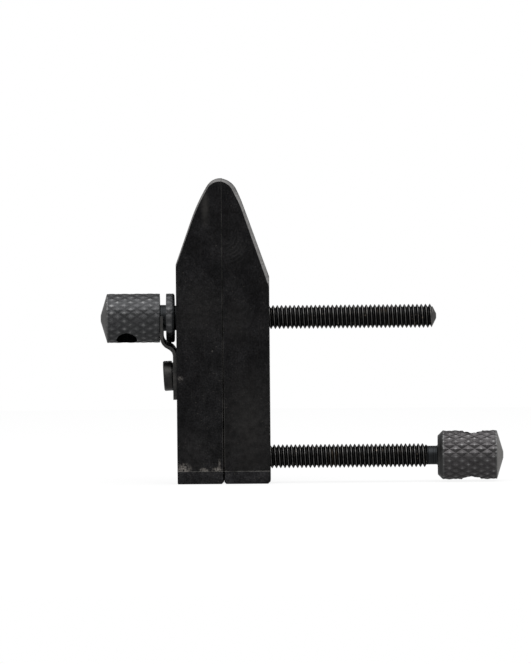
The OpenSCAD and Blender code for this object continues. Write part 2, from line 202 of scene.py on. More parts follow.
# Least normal along X of the clip's faces that look at the jaw, which get painted shade
INSIDE_LEAN = 0.2

# Clip's screw
SCREW_RADIUS = 2
SCREW_LENGTH = 7.5
SCREW_ROOM = 0.5
SCREW_END_BREAK = 0.4
SCREW_HEAD_RADIUS = 3.75
SCREW_HEAD_HEIGHT = 2.25
SCREW_HEAD_ROUND = 0.4
SCREW_HEAD_BREAK = 0.15
SCREW_HEAD_FLAT = 0.5
SCREW_HEAD_SIDES = 96
SCREW_HEAD_STEPS = 6
SCREW_MARGIN = 1.35
SCREW_SEAT = 0.35
SCREW_SEAT_RADIUS = 3.3
SCREW_LEAN = math.radians(3)
SLOT_WIDTH = 1
SLOT_DEPTH = 1.1
SLOT_ANGLE = math.radians(12)

# Places along X that follow from these
COLLAR_INNER = OUTER_FACE - COLLAR_GAP
COLLAR_OUTER = COLLAR_INNER - COLLAR_WIDTH
GROOVE_OUTER = COLLAR_OUTER - GROOVE_WIDTH
SHANK_END = SEAM - SHANK_SETBACK
END_HEAD_START = END_POINT - END_HEAD_LENGTH
END_THREAD_END = END_HEAD_START - NECK_LENGTH

# Middle of the clip's strip on the jaw and in the groove, and the heights of its bends and its screw
CLIP_BASE = OUTER_FACE - CLIP_THICKNESS / 2
PRONG_PLACE = GROOVE_OUTER + PRONG_GAP + CLIP_THICKNESS / 2
BEND_TOP = CENTRE_HEIGHT - HEAD_RADIUS + CLIP_BEND_RISE
BEND_RUN = CLIP_BASE - PRONG_PLACE - 2 * CLIP_BEND_RADIUS * (1 - math.cos(CLIP_BEND_ANGLE))
BEND_FALL = 2 * CLIP_BEND_RADIUS * math.sin(CLIP_BEND_ANGLE) + BEND_RUN / math.tan(CLIP_BEND_ANGLE)
BEND_BOTTOM = BEND_TOP - BEND_FALL
SCREW_HEIGHT = BEND_BOTTOM - SCREW_MARGIN - SCREW_HEAD_RADIUS

# Finishes: ranges of a noise that take in most of it or its middle, and the wave texture's own period
WIDE = (0.3, 0.7)
MIDDLE = (0.35, 0.65)
WAVE_PERIOD = math.pi / 10
# How many times lighter than its level a jaw's oxide is at most, where it is thin, and at specks
OXIDE_LIGHT = 3.8
OXIDE_THIN = 4
OXIDE_SPECK = 8
# Grey levels of scuffs, dust on the threads and the painted shade at the ground strips' tip, and the height over
# which that shade sets in
SCUFF_LEVEL = 0.14
DUST_LEVEL = 0.2
TIP_SHADE_LEVEL = 0.06
TIP_SHADE_HEIGHT = 4
# Depths below a thread's crest between which its bare steel sets in
BARE_DEPTHS = (0.06, 0.01)
# Share of light that turned steel and threads keep at a grazing angle
TURNED_GRAZE = 0.6
THREAD_GRAZE = 0.45
# Faint arcs that a mill left on the tapped jaw's nose: their middle and spacing
MILL_CENTRE = (6, FRONT, 62)
MILL_SPACING = 0.9
# Reach of a mark through a jaw's thickness
MARK_DEPTH = 1

# Studio: grey levels of the light and the floor, and the floor and the lamp in metres and watts
WORLD_LIGHT = 0.25
FLOOR_LEVEL = 0.6
FLOOR_SHADOW = 0.1
FLOOR_GLOW = 0.872
FLOOR_RADIUS = 0.5
FLOOR_SIDES = 96
LAMP_PLACE = (0.015, -0.37, 1.19)
LAMP_SIZE = 1.7
LAMP_POWER = 32

# Camera: the picture's height in pixels, its middle and scale, the viewing angle and the reach in metres
PICTURE_HEIGHT = 664
PICTURE_MIDDLE = (16.41, 0, 37.73)
PIXELS_PER_MM = 4
CAMERA_DISTANCE = 2500
CAMERA_RIGHT = math.radians(0.5)
CAMERA_ABOVE = math.radians(1.7)
CAMERA_ROLL = math.radians(-0.5)
CAMERA_REACH = 100


# Shader nodes


def node(tree, kind, inputs, **settings):
    """New shader node with its settings, and with its inputs linked or set."""
    made = tree.nodes.new("ShaderNode" + kind)
    for name, value in settings.items():
        setattr(made, name, value)
    for name, value in inputs.items():
        if isinstance(value, bpy.types.NodeSocket):
            tree.links.new(value, made.inputs[name])
        else:
            made.inputs[name].default_value = value
    return made


def grey(level, warm=0.0, violet=0.0):
    """Colour of a grey level, with a share of brown, or of blue where negative, and a share of violet."""
    return (level * (1 + warm + violet), level, level * (1 - warm + violet), 1)


def place_on(tree):
    """Place on the piece, in metres along the frame's axes."""
    return node(tree, "TexCoord", {}).outputs["Object"]


def along_axis(tree, axis):
    """Place on the piece along one of the frame's axes, in metres."""
    return node(tree, "SeparateXYZ", {"Vector": place_on(tree)}).outputs[axis]


def from_axis(tree):
    """Distance from the screw's axis, in millimetres."""
    return node(tree, "Attribute", {}, attribute_name="from_axis").outputs["Fac"]


def noise(tree, size, detail=3, stretch=(1, 1, 1)):
    """Noise with patches of a size in millimetres, drawn out along the axes."""
    scale = [1 / (size * MM * along) for along in stretch]
    mapped = node(tree, "Mapping", {"Vector": place_on(tree), "Scale": scale}).outputs[0]
    return node(tree, "TexNoise", {"Vector": mapped, "Scale": 1, "Detail": detail}).outputs[0]


def rings(tree, size):
    """Noise in rings about the X axis, as a lathe leaves."""
    inputs = {"W": along_axis(tree, "X"), "Scale": 1 / (size * MM), "Detail": 4}
    return node(tree, "TexNoise", inputs, noise_dimensions="1D").outputs[0]


def local_place(tree, centre, scale):
    """Place measured from a centre in units of a scale, both in millimetres."""
    inputs = {
        "Vector": place_on(tree),
        "Location": [value * MM for value in centre],
        "Scale": [value * MM for value in scale],
    }
    return node(tree, "Mapping", inputs, vector_type="TEXTURE").outputs[0]


def spot(tree, centre, radii):
    """Spot that fades out towards its radii, in millimetres."""
    local = local_place(tree, centre, radii)
    return node(tree, "TexGradient", {"Vector": local}, gradient_type="SPHERICAL").outputs[1]


def arcs(tree, centre, spacing):
    """Fine arcs about a line along Y, as a mill leaves, with sizes in millimetres."""
    local = local_place(tree, centre, (1, 1, 1))
    wave = {"Vector": local, "Scale": WAVE_PERIOD / spacing, "Distortion": 1.5, "Detail": 2}
    return node(tree, "TexWave", wave, wave_type="RINGS", rings_direction="Y").outputs[1]


def ramp(tree, value, source, target=(0, 1)):
    """Value carried from one range to another, and kept inside it."""
    inputs = {
        "Value": value,
        "From Min": source[0], "From Max": source[1],
        "To Min": target[0], "To Max": target[1],
    }
    return node(tree, "MapRange", inputs).outputs[0]


def times(tree, first, second):
    """Product of two values."""
    return node(tree, "Math", {0: first, 1: second}, operation="MULTIPLY").outputs[0]


def mix(tree, share, first, second):
    """Colour between two colours, by the mix node's sockets for colours."""
    return node(tree, "Mix", {0: share, 6: first, 7: second}, data_type="RGBA").outputs[2]


def new_finish(name):
    """New material and its node tree."""
    material = bpy.data.materials.new(name)
    material.use_nodes = True
    return material, material.node_tree


def surface(tree, colour, roughness, height, depth, metallic, specular=0.5, graze=1.0):
    """Links colour, roughness and bump into the shader. Depth is the bump's, in millimetres."""
    bump = node(tree, "Bump", {"Height": height, "Strength": 1, "Distance": depth * MM})
    shader = tree.nodes["Principled BSDF"]
    shader.inputs["Metallic"].default_value = metallic
    shader.inputs["Specular IOR Level"].default_value = specular
    shader.inputs["Specular Tint"].default_value = grey(graze)
    tree.links.new(colour, shader.inputs["Base Color"])
    tree.links.new(roughness, shader.inputs["Roughness"])
    tree.links.new(bump.outputs[0], shader.inputs["Normal"])


# Finishes


def mark(x, z, width, height, strength):
    """Mark on a jaw's front: its middle, its radii and its strength."""
    return (x, FRONT, z), (width, MARK_DEPTH, height), strength


def mill_marks(tree):
    """Share of faint mill marks on the tapped jaw's nose."""
    centre, radii, strength = mark(x=9, z=58.5, width=3.4, height=5, strength=0.8)
    lines = ramp(tree, arcs(tree, MILL_CENTRE, MILL_SPACING), (0.5, 1), (0, strength))
    return times(tree, spot(tree, centre, radii), lines)


def jaw_oxide(name, level, pale=(), scuffs=()):
    """Black oxide on a jaw: clouded, grained, streaked and specked.

    It is thinner at the pale marks and rubbed bare at the scuffs.
    """
    material, tree = new_finish(name)
    cloud = noise(tree, size=5, detail=5)
    patch = noise(tree, size=1.3, detail=4)
    grain = noise(tree, size=0.4, detail=2)
    tone = times(tree, ramp(tree, cloud, MIDDLE, (0.5, 1)), ramp(tree, patch, WIDE, (0.5, 1)))
    tone = times(tree, tone, ramp(tree, grain, WIDE, (0.3, 1)))
    colour = mix(tree, tone, grey(0), grey(OXIDE_LIGHT * level, -0.02, 0.04))
    for centre, radii, strength in pale:
        share = ramp(tree, patch, WIDE, (0.4 * strength, strength))
        thin = times(tree, spot(tree, centre, radii), share)
        colour = mix(tree, thin, colour, grey(OXIDE_THIN * level, 0.04))
    colour = mix(tree, mill_marks(tree), colour, grey(OXIDE_THIN * level))
    streak = noise(tree, size=0.3, detail=2, stretch=(1, 1, 30))
    colour = mix(tree, ramp(tree, streak, (0.62, 0.8), (0, 0.5)), colour, grey(OXIDE_THIN * level, 0.05))
    specks = ramp(tree, noise(tree, size=0.45, detail=2), (0.64, 0.74))
    specks = times(tree, specks, ramp(tree, cloud, (0.4, 0.6), (0.2, 0.8)))
    colour = mix(tree, specks, colour, grey(OXIDE_SPECK * level, 0.1))
    for centre, radii, strength in scuffs:
        share = ramp(tree, noise(tree, size=0.45, detail=6), (0.38, 0.7), (0, strength))
        rubbed = times(tree, spot(tree, centre, radii), share)
        colour = mix(tree, rubbed, colour, grey(SCUFF_LEVEL, 0.08))
    roughness = ramp(tree, cloud, WIDE, (0.42, 0.55))
    surface(tree, colour, roughness, grain, depth=0.012, metallic=0, specular=0.03)
    return material


def edge_steel(name, level, wear, metallic):
    """Rubbed edge of a blackened piece, bare in places and black in others, or near-black painted shade along the
    seam.
    """
    material, tree = new_finish(name)
    patches = ramp(tree, noise(tree, size=2.5, detail=4), (0.35, 0.7))
    colour = mix(tree, patches, grey(level, 0.05), grey(wear, 0.05))
    roughness = ramp(tree, patches, (0, 1), (0.5, 0.4))
    bumps = noise(tree, size=0.3)
    surface(tree, colour, roughness, bumps, depth=0.01, metallic=metallic, specular=0.6 * metallic)
    return material


def ground_finish(name, level):
    """Ground steel: fine lines across the nose, lighter and darker, and painted shade towards the tip, whose faces
    look up to the lamp.
    """
    material, tree = new_finish(name)
    lines = noise(tree, size=0.25, stretch=(6, 6, 1))
    patches = noise(tree, size=3)
    colour = mix(tree, ramp(tree, lines, MIDDLE), grey(0.75 * level, 0.02), grey(1.2 * level, 0.02))
    colour = mix(tree, ramp(tree, patches, (0.55, 0.8), (0, 0.5)), colour, grey(0.5 * level, 0.05))
    # Painted shade: darker towards the top, against the lamp's light on the tip's upward faces
    tip_shade = ramp(tree, along_axis(tree, "Z"), ((JAW_LENGTH - TIP_SHADE_HEIGHT) * MM, JAW_LENGTH * MM))
    colour = mix(tree, tip_shade, colour, grey(TIP_SHADE_LEVEL, 0.02))
    surface(tree, colour, ramp(tree, lines, WIDE, (0.4, 0.55)), lines, depth=0.01, metallic=0.8)
    return material


def knurl_finish(name, level, tint, knurl, groove_shade, point, worn, rough):
    """Darkened knurl, mottled, with painted shade in its grooves, and rubbed at its points where noise exceeds
    worn.
    """
    material, tree = new_finish(name)
    depth = knurl["depth"]
    radius = from_axis(tree)
    grain = noise(tree, size=0.25, detail=4)
    mottle = noise(tree, size=1.3)
    # Painted shade in the grooves: darker towards the knurl's floor, down to groove_shade of the colour
    groove_shade_share = ramp(tree, radius, (HEAD_RADIUS - depth, HEAD_RADIUS), (groove_shade, 1))
    tone = times(tree, ramp(tree, grain, WIDE, (0.6, 1)), ramp(tree, mottle, MIDDLE, (0.7, 1)))
    colour = mix(tree, times(tree, tone, groove_shade_share), grey(0), grey(1.9 * level, *tint))
    tips = ramp(tree, radius, (HEAD_RADIUS - 0.3 * depth, HEAD_RADIUS - 0.05 * depth))
    tips = times(tree, tips, ramp(tree, noise(tree, size=1.1), (worn, worn + 0.2)))
    colour = mix(tree, tips, colour, grey(point))
    roughness = ramp(tree, grain, WIDE, (rough, rough + 0.12))
    surface(tree, colour, roughness, grain, depth=0.01, metallic=1, graze=TURNED_GRAZE)
    return material


def turned_finish(name, level, warm, feed):
    """Darkened turned steel with lathe rings, a feed apart along X."""
    material, tree = new_finish(name)
    ring = rings(tree, feed)
    stain = noise(tree, size=1.5)
    colour = mix(tree, ramp(tree, ring, (0.38, 0.62)), grey(0.4 * level, warm), grey(1.6 * level, warm))
    colour = mix(tree, ramp(tree, stain, (0.45, 0.7), (0, 0.5)), colour, grey(0.7 * level, warm + 0.04))
    roughness = ramp(tree, ring, WIDE, (0.32, 0.45))
    surface(tree, colour, roughness, ring, depth=0.012, metallic=1, graze=TURNED_GRAZE)
    return material


def thread_finish(name, level, crest):
    """Blackened thread: bare crests, dark flanks, brown traces of rust and some dust."""
    material, tree = new_finish(name)
    grain = noise(tree, size=0.3, detail=4)
    colour = mix(tree, ramp(tree, grain, WIDE), grey(0.6 * level, -0.03), grey(1.4 * level, 0.02))
    rust = ramp(tree, noise(tree, size=4), (0.58, 0.75), (0, 0.7))
    colour = mix(tree, rust, colour, grey(2.5 * level, 0.35))
    bare = ramp(tree, from_axis(tree), [CREST_RADIUS - depth for depth in BARE_DEPTHS])
    bare = times(tree, bare, ramp(tree, noise(tree, size=0.8), (0.3, 0.6), (0.3, 1)))
    colour = mix(tree, bare, colour, grey(crest, 0.02))
    dust = ramp(tree, noise(tree, size=0.4, detail=2), (0.66, 0.74))
    dust = times(tree, dust, ramp(tree, noise(tree, size=7, detail=2), (0.45, 0.6), (0.1, 1)))
    colour = mix(tree, dust, colour, grey(DUST_LEVEL, 0.2))
    roughness = ramp(tree, grain, WIDE, (0.35, 0.5))
    surface(tree, colour, roughness, grain, depth=0.01, metallic=1, graze=THREAD_GRAZE)
    return material


def blackened(name, level, light, metallic, specular):
    """Blackened steel of the clip and its screw, a little mottled, and the near-black painted shade on the clip's
    inside.
    """
    material, tree = new_finish(name)
    patches = ramp(tree, noise(tree, size=1.5, detail=4), MIDDLE)
    colour = mix(tree, patches, grey(level), grey(light, 0.04))
    roughness = ramp(tree, patches, (0, 1), (0.38, 0.5))
    bumps = noise(tree, size=0.3, detail=4)
    surface(tree, colour, roughness, bumps, depth=0.012, metallic=metallic, specular=specular)
    return material


# Pale areas and scuffs on the jaws' fronts: place along X and Z, radii along X and Z, and strength
PLAIN_PALE = [
    mark(0, 43, 7, 9, 0.5),
    mark(1.6, 69.5, 1.3, 6, 1.8),
    mark(-2, 8, 6, 9, 0.45),
]
PLAIN_SCUFFS = [
    mark(-4.3, 3.9, 2.4, 1.6, 2),
    mark(-4.6, 3.3, 1.8, 0.5, 2.5),
    mark(0.8, 3.5, 1.5, 0.8, 2),
    mark(4.2, 3.6, 1.8, 0.9, 2),
    mark(4.7, 5.2, 0.4, 1.5, 1.2),
    mark(-4.9, 26.4, 0.9, 0.9, 0.8),
    mark(3.2, 33.2, 0.4, 0.3, 0.8),
]
TAPPED_PALE = [
    mark(12, 14, 8, 18, 1),
    mark(9, 40, 5, 8, 0.45),
]

plain_oxide = jaw_oxide("plain_oxide", level=0.0055, pale=PLAIN_PALE, scuffs=PLAIN_SCUFFS)
tapped_oxide = jaw_oxide("tapped_oxide", level=0.005, pale=TAPPED_PALE)
# Heel's downward bevels: the jaws' oxide at about twice their level, so lighter than the fronts
heel_oxide = jaw_oxide("heel_oxide", level=0.0115)
worn_edge = edge_steel("worn_edge", level=0.01, wear=0.06, metallic=0.5)
heel_line = edge_steel("heel_line", level=0.03, wear=0.22, metallic=0.5)
# Painted shade: near-black and without gloss, on the seam's bevels where the two jaws meet
painted_seam_shade = edge_steel("painted_seam_shade", level=0.001, wear=0.004, metallic=0)
worn_seam = edge_steel("worn_seam", level=0.03, wear=0.2, metallic=0.5)
plain_strip = ground_finish("plain_strip", level=0.15)
tapped_strip = ground_finish("tapped_strip", level=0.18)
centre_knurled = knurl_finish(
    "centre_knurled", level=0.036, tint=(-0.02, 0.01), knurl=CENTRE_KNURL,
    groove_shade=0.6, point=0.11, worn=0.42, rough=0.4,
)
end_knurled = knurl_finish(
    "end_knurled", level=0.04, tint=(0.015, 0.035), knurl=END_KNURL,
    groove_shade=0.6, point=0.13, worn=0.38, rough=0.32,
)
knurl_end = knurl_finish(
    "knurl_end", level=0.05, tint=(0, 0), knurl=CENTRE_KNURL,
    groove_shade=1, point=0.2, worn=0.35, rough=0.4,
)
dark_turned = turned_finish("dark_turned", level=0.017, warm=-0.06, feed=0.3)
centre_cone = turned_finish("centre_cone", level=0.065, warm=0.02, feed=0.08)
end_cone = turned_finish("end_cone", level=0.155, warm=0.03, feed=0.08)
end_bevel = turned_finish("end_bevel", level=0.036, warm=0, feed=0.15)
thread_steel = thread_finish("thread_steel", level=0.015, crest=0.09)
clip_steel = blackened("clip_steel", level=0.026, light=0.045, metallic=0, specular=0.03)
# Painted shade: black without gloss on the clip's faces towards the jaw, under the collar and head
clip_painted_shade = blackened("clip_painted_shade", level=0.002, light=0.005, metallic=0, specular=0)
clip_screw_steel = blackened("clip_screw_steel", level=0.018, light=0.034, metallic=1, specular=0.2)


# Meshes


def arc(centre, radius, start, end, steps):
    """Points of an arc in a plane, with angles in radians."""
    angles = np.linspace(start, end, steps + 1)
    return [(centre[0] + radius * math.cos(a), centre[1] + radius * math.sin(a)) for a in angles]


def shift(x, y, z):
    """Matrix of a move in millimetres."""
    return Matrix.Translation(Vector((x, y, z)) * MM)


def add_object(name, data):
    """New object in the scene."""
    obj = bpy.data.objects.new(name, data)
    bpy.context.scene.collection.objects.link(obj)
    return obj


def new_object(name, points, faces):
    """Object whose mesh has points in millimetres, merged and with normals outwards."""
    mesh = bpy.data.meshes.new(name)
    mesh.from_pydata([Vector(p) * MM for p in points], [], faces)
    skin = bmesh.new()
    skin.from_mesh(mesh)
    bmesh.ops.remove_doubles(skin, verts=skin.verts, dist=MERGE_DISTANCE * MM)
    bmesh.ops.recalc_face_normals(skin, faces=skin.faces)
    skin.to_mesh(mesh)
    skin.free()
    return add_object(name, mesh)


def combine(obj, other, operation):
    """Joins another object to this one, or cuts it out, and removes it."""
    modifier = obj.modifiers.new("combine", "BOOLEAN")
    modifier.operation = operation
    modifier.solver = "EXACT"
    modifier.object = other
    evaluated = obj.evaluated_get(bpy.context.evaluated_depsgraph_get())
    mesh = bpy.data.meshes.new_from_object(evaluated)
    obj.modifiers.clear()
    obj.data = mesh
    bpy.data.objects.remove(other)
    return obj


def turned(name, columns, height, first_angle=0.0, valleys=False, lead_rows=0):
    """Closed skin about an axis along X. Each column has places along X and radii, for one angle.

    With valleys, each square is split along its lower diagonal, which keeps a knurl's grooves straight.
    The last column joins the first a number of rows on, for a thread's one turn.
    """
    sides = len(columns)
    rows = len(columns[0])
    angles = first_angle + np.arange(sides) * 2 * math.pi / sides
    points = [
        (x, r * math.cos(a), height + r * math.sin(a))
        for a, column in zip(angles, columns)
        for x, r in column
    ]
    radii = [r for column in columns for x, r in column]
    faces = []
    for side in range(sides):
        near = side * rows
        far = (side + 1) % sides * rows
        lead = lead_rows if side == sides - 1 else 0
        for i in range(rows - 1 - lead):
            a, b, c, d = near + i, far + i + lead, far + i + lead + 1, near + i + 1
            if not valleys:
                faces.append((a, b, c, d))
            elif radii[a] + radii[c] < radii[b] + radii[d]:
                faces += [(a, b, c), (a, c, d)]
            else:
                faces += [(a, b, d), (b, c, d)]
    faces.append([side * rows for side in range(sides)])
    faces.append([side * rows + rows - 1 for side in range(sides)])
    return new_object(name, points, faces)


def bar(name, profile, height, sides=BAR_SIDES):
    """Plain turned bar from one profile of places along X and radii."""
    return turned(name, [profile] * sides, height)


def prism(name, outline, width):
    """Outline in X and Z, extruded across Y."""
    count = len(outline)
    points = [(x, y, z) for y in (-width / 2, width / 2) for x, z in outline]
    faces = [list(range(count)), list(range(count, 2 * count))]
    faces += [(i, (i + 1) % count, count + (i + 1) % count, count + i) for i in range(count)]
    return new_object(name, points, faces)


def bevel_edges(skin, edges, width, material=0):
    """Rounds some edges, with a material slot of their own."""
    bmesh.ops.bevel(
        skin, geom=edges, offset=width * MM, segments=2, profile=0.5, affect="EDGES",
        clamp_overlap=True, material=material,
    )


def break_edges(obj, width, angle):
    """Rounds every edge of an object that is sharper than an angle."""
    skin = bmesh.new()
    skin.from_mesh(obj.data)
    bevel_edges(skin, [e for e in skin.edges if e.calc_face_angle(0) > angle], width)
    skin.to_mesh(obj.data)
    skin.free()


def shade_smooth(obj, angle):
    """Smooth shading up to an angle, with flat faces kept flat."""
    obj.data.polygons.foreach_set("use_smooth", [True] * len(obj.data.polygons))
    obj.data.set_sharp_from_angle(angle=angle)
    weighted = obj.modifiers.new("flat_faces", "WEIGHTED_NORMAL")
    weighted.keep_sharp = True


# Screws


def thread_radius(turn):
    """Radius of the thread at a share of a turn: its root at 0 and its crest at one half."""
    from_crest = abs(turn % 1 - 0.5) * PITCH
    flank = PITCH / 2 - THREAD_CREST / 2 - THREAD_ROOT / 2
    return CREST_RADIUS - THREAD_DEPTH * min(max((from_crest - THREAD_CREST / 2) / flank, 0), 1)


def threaded_rod(name, first, last, height, limit, extra=0):
    """Right-hand thread between two places along X, kept inside a limit on its radius and grown by extra."""
    first_turn = math.floor((first - SEAM) / PITCH) - TURNS_BEFORE
    last_turn = math.ceil((last - SEAM) / PITCH) + TURNS_AFTER
    shares = [turn + row for turn in range(first_turn, last_turn) for row in THREAD_ROWS]
    columns = []
    for side in range(THREAD_SIDES):
        lead = side / THREAD_SIDES + THREAD_SHIFT
        column = []
        for share in shares:
            x = min(max(SEAM + PITCH * (share + lead), first), last)
            radius = thread_radius((x - SEAM) / PITCH - lead) + extra
            column.append((x, min(radius, limit(x))))
        columns.append(column)
    return turned(name, columns, height, lead_rows=len(THREAD_ROWS))


def knurl_fall(knurl, x, angle):
    """Depth of a diamond knurl below the head's radius: blunted pyramids between crossing grooves."""
    across = KNURL_STARTS * (angle - knurl["angle"]) / (2 * math.pi)
    along = (x - knurl["place"]) / knurl["pitch"]
    u = across + along
    v = across - along
    height = 1 - 2 * max(abs(u - round(u)), abs(v - round(v)))
    return knurl["depth"] * (1 - min(height / (1 - knurl["blunt"]), 1))


def knurled(name, places, height, knurl):
    """Knurled head. Each place is a distance along X and a limit on the radius there."""
    sides = 2 * KNURL_STARTS * KNURL_STEPS
    columns = []
    for side in range(sides):
        angle = knurl["angle"] + 2 * math.pi * side / sides
        columns.append([(x, min(limit, HEAD_RADIUS - knurl_fall(knurl, x, angle))) for x, limit in places])
    return turned(name, columns, height, first_angle=knurl["angle"], valleys=True)


def knurl_rings(first, last, knurl):
    """Places and limits for a knurled stretch along X, in step with the knurl's points."""
    step = knurl["pitch"] / 2 / KNURL_STEPS
    start = math.floor((first - knurl["place"]) / step) + 1
    end = math.ceil((last - knurl["place"]) / step)
    return [(knurl["place"] + step * n, KNURL_LIMIT) for n in range(start, end)]


def even_rings(first, last):
    """Evenly spread places along X, both ends among them."""
    return list(np.linspace(first, last, math.ceil((last - first) / RING_STEP) + 1))


def cross_hole(screw, x, height, lean):
    """Cuts a tommy bar hole across a screw's head, flared at both mouths."""
    reach = HEAD_RADIUS + PAST
    mouth = HEAD_RADIUS - TOMMY_BREAK
    flare = TOMMY_RADIUS + PAST + TOMMY_BREAK
    profile = [(-reach, flare), (-mouth, TOMMY_RADIUS), (mouth, TOMMY_RADIUS), (reach, flare)]
    cutter = bar("hole", profile, 0)
    upright = Matrix.Rotation(-math.pi / 2, 4, "Y")
    cutter.data.transform(shift(x, 0, height) @ Matrix.Rotation(-lean, 4, "X") @ upright)
    combine(screw, cutter, "DIFFERENCE")


def finish_screw(screw, height, bands):
    """Gives a screw its materials by place, and each vertex its distance from the axis.

    A band has two places along X, the least distance from the axis and a material. The first to fit counts.
    """
    mesh = screw.data
    mesh.materials.append(dark_turned)
    for first, last, least, material in bands:
        mesh.materials.append(material)
    for face in mesh.polygons:
        x, y, z = face.center / MM
        radius = math.hypot(y, z - height)
        fits = [first < x < last and radius > least for first, last, least, material in bands]
        face.material_index = fits.index(True) + 1 if any(fits) else 0
    layer = mesh.attributes.new("from_axis", "FLOAT", "POINT")
    layer.data.foreach_set("value", [math.hypot(v.co.y / MM, v.co.z / MM - height) for v in mesh.vertices])


def centre_screw():
    """Centre screw: coned and knurled head, groove, collar, shank and thread."""
    rim = CENTRE_POINT + CONE_HEIGHT
    head_end = GROOVE_OUTER - GROOVE_BREAK
    collar_start = COLLAR_OUTER + GROOVE_BREAK
    collar_end = COLLAR_INNER - COLLAR_ROUND
    places = [(x, CONE_FLAT + CONE_SLOPE * (x - CENTRE_POINT)) for x in even_rings(CENTRE_POINT, rim)]
    places += knurl_rings(rim, head_end, CENTRE_KNURL)
    places += [(head_end, KNURL_LIMIT), (GROOVE_OUTER, HEAD_RADIUS - GROOVE_BREAK)]
    places += [(GROOVE_OUTER, GROOVE_RADIUS), (COLLAR_OUTER, GROOVE_RADIUS)]
    places += [(COLLAR_OUTER, HEAD_RADIUS - GROOVE_BREAK), (collar_start, KNURL_LIMIT)]
    places += knurl_rings(collar_start, collar_end, CENTRE_KNURL)
    places += arc((collar_end, HEAD_RADIUS - COLLAR_ROUND), COLLAR_ROUND, math.pi / 2, 0, FILLET_STEPS)
    places += [(COLLAR_INNER, SHANK_RADIUS), (SHANK_END - SHANK_BREAK, SHANK_RADIUS)]
    places += [(SHANK_END, SHANK_RADIUS - SHANK_BREAK)]
    screw = knurled("centre_screw_finish", places, CENTRE_HEIGHT, CENTRE_KNURL)
    tip_slope = (CREST_RADIUS - CENTRE_TIP) / CENTRE_CONE
    thread = threaded_rod(
        "thread", SHANK_END - SHANK_OVERLAP, CENTRE_END, CENTRE_HEIGHT,
        lambda x: CENTRE_TIP + tip_slope * (CENTRE_END - x),
    )
    combine(screw, thread, "UNION")
    cross_hole(screw, GROOVE_OUTER - CENTRE_HOLE_OFFSET, CENTRE_HEIGHT, CENTRE_HOLE_LEAN)
    finish_screw(screw, CENTRE_HEIGHT, [
        (SHANK_END, CENTRE_END - CENTRE_CONE, 0, thread_steel),
        (SHANK_END, CENTRE_END + PAST, 0, centre_cone),
        (rim, rim + KNURL_END, KNURL_FLOOR, knurl_end),
        (rim, collar_end, KNURL_FLOOR, centre_knurled),
        (CENTRE_POINT - PAST, rim, 0, centre_cone),
    ])
    return screw


def end_screw():
    """End screw: nose, thread, neck and a bevelled, knurled and coned head."""
    rim = END_POINT - CONE_HEIGHT
    shoulder = END_HEAD_START + END_BEVEL
    fillet = (END_HEAD_START - NECK_FILLET, NECK_RADIUS + NECK_FILLET)
    places = [(END_THREAD_END - OVERLAP, NECK_RADIUS)]
    places += arc(fillet, NECK_FILLET, -math.pi / 2, 0, FILLET_STEPS)
    bevel_rings = even_rings(END_HEAD_START, shoulder)
    places += [(x, HEAD_RADIUS - END_BEVEL + x - END_HEAD_START) for x in bevel_rings]
    places += knurl_rings(shoulder, rim, END_KNURL)
    places += [(x, CONE_FLAT + CONE_SLOPE * (END_POINT - x)) for x in even_rings(rim, END_POINT)]
    screw = knurled("end_screw_finish", places, END_HEIGHT, END_KNURL)
    first = SEAM + GRIP_FACE
    start = CREST_RADIUS - THREAD_DEPTH + THREAD_START
    thread = threaded_rod(
        "thread", first, END_THREAD_END, END_HEIGHT,
        lambda x: start + min(x - first, END_THREAD_END - x),
    )
    combine(screw, thread, "UNION")
    nose_end = SEAM - NOSE_LENGTH
    profile = [(nose_end - (NOSE_RADIUS - NOSE_FLAT) / DRILL_SLOPE, NOSE_FLAT), (nose_end, NOSE_RADIUS)]
    profile += [(first, NOSE_RADIUS), (first + OVERLAP, NOSE_RADIUS - NOSE_TAPER)]
    combine(screw, bar("nose", profile, END_HEIGHT), "UNION")
    cross_hole(screw, END_HEAD_START + END_HOLE_OFFSET, END_HEIGHT, 0)
    finish_screw(screw, END_HEIGHT, [
        (first, END_THREAD_END, 0, thread_steel),
        (shoulder, shoulder + KNURL_END, KNURL_FLOOR, knurl_end),
        (rim - KNURL_END, rim, KNURL_FLOOR, knurl_end),
        (shoulder, rim, KNURL_FLOOR, end_knurled),
        (rim, END_POINT + PAST, 0, end_cone),
        (END_HEAD_START, shoulder, NECK_RADIUS + NECK_FILLET, end_bevel),
    ])
    return screw


# Jaws


def nose_edge(nose):
    """Edge of a jaw's nose in X and Z: its corner, the slope's shoulder, the rounded tip and the seam."""
    radius = nose["radius"]
    turn = nose["turn"]
    corner = np.array((JAW_WIDTH, nose["top"] - nose["length"]))
    centre = np.array((nose["middle"], nose["top"] - radius))
    slope_out = np.array((math.cos(NOSE_ANGLE), math.sin(NOSE_ANGLE)))
    turn_out = np.array((math.cos(turn), math.sin(turn)))
    turn_point = centre + radius * turn_out
    shoulder = (corner - turn_point) @ slope_out / (1 - math.cos(turn - NOSE_ANGLE))
    curve = arc(turn_point - shoulder * turn_out, shoulder, NOSE_ANGLE, turn, TIP_STEPS)
    last = min(math.pi / 2, math.acos((GRIP_FACE - nose["middle"]) / radius))
    tip = arc(centre, radius, turn, last, TIP_STEPS)
    return np.array([corner, *curve, *tip[1:], (GRIP_FACE, tip[-1][1])])


def nose_bevels(nose, edge):
    """Width of the ground bevel at each point of the nose's edge."""
    heights = [edge[point, 1] for point in (0, 1, 1 + TIP_STEPS, -1)]
    return np.interp(edge[:, 1], heights, nose["bevels"])


